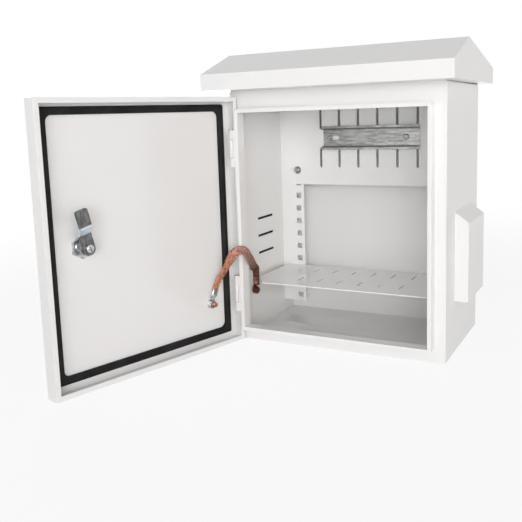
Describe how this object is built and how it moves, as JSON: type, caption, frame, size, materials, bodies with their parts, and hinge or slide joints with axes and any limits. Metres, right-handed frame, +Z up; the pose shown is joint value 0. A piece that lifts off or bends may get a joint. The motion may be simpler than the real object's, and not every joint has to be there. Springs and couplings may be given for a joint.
{
  "type": "outdoor utility cabinet",
  "caption": "Wall or pole mounted outdoor utility cabinet with a gabled rain roof, an open hinged door, a cam lock, a slotted mounting plate with a rail, a slotted shelf and an earthing strap.",
  "frame": {"origin": "middle of the underside of the cabinet's floor", "axes": "+Z up, -Y out of the door opening, +X to the right seen from the front"},
  "size_m": [0.403, 0.4816, 0.4],
  "materials": {
    "white_paint": "gloss powder coat",
    "zinc": "zinc plated",
    "galvanised": "galvanised",
    "gasket_rubber": "matt foam",
    "copper": "braided copper"
  },
  "bodies": {
    "cabinet": {"arm_bolts": "zinc", "arm_nuts": "zinc", "back_panel": "white_paint", "cabinet_wrap": "white_paint", "din_rail": "galvanised", "earth_strap": "copper", "front_frame": "white_paint", "left_shelf_arm": "white_paint", "left_upright": "white_paint", "left_vent_hood": "white_paint", "lower_hinge_leaf": "white_paint", "lower_hinge_pin": "zinc", "mounting_plate": "white_paint", "plate_nuts": "zinc", "plate_screws": "zinc", "plate_washers": "zinc", "rail_nuts": "zinc", "rail_screws": "zinc", "rain_roof": "white_paint", "right_shelf_arm": "white_paint", "right_upright": "white_paint", "right_vent_hood": "white_paint", "shelf": "white_paint", "upper_hinge_leaf": "white_paint", "upper_hinge_pin": "zinc", "wall_earth_lug": "copper", "wall_earth_nut": "copper", "wall_earth_stud": "copper"},
    "door": {"door_earth_lug": "zinc", "door_earth_nut": "zinc", "door_earth_stud": "copper", "door_gasket": "gasket_rubber", "door_panel": "white_paint", "lock_housing": "zinc", "lock_nut": "zinc", "lower_door_knuckle": "white_paint", "upper_door_knuckle": "white_paint"},
    "lock": {"cam_screw": "zinc", "lock_cam": "zinc", "lock_cylinder": "zinc"}
  },
  "joints": [
    {"name": "door_hinge", "type": "hinge", "parent": "cabinet", "child": "door", "pos_m": [-0.143, -0.1003, 0.1697], "axis": [0, 0, -1], "range_deg": [-106, 4], "deforming": ["earth_strap"]},
    {"name": "lock_turn", "type": "hinge", "parent": "door", "child": "lock", "pos_m": [-0.20805, -0.32716, 0.1697], "axis": [0.9613, -0.2756, 0], "range_deg": [-14.5, 75.5]}
  ]
}
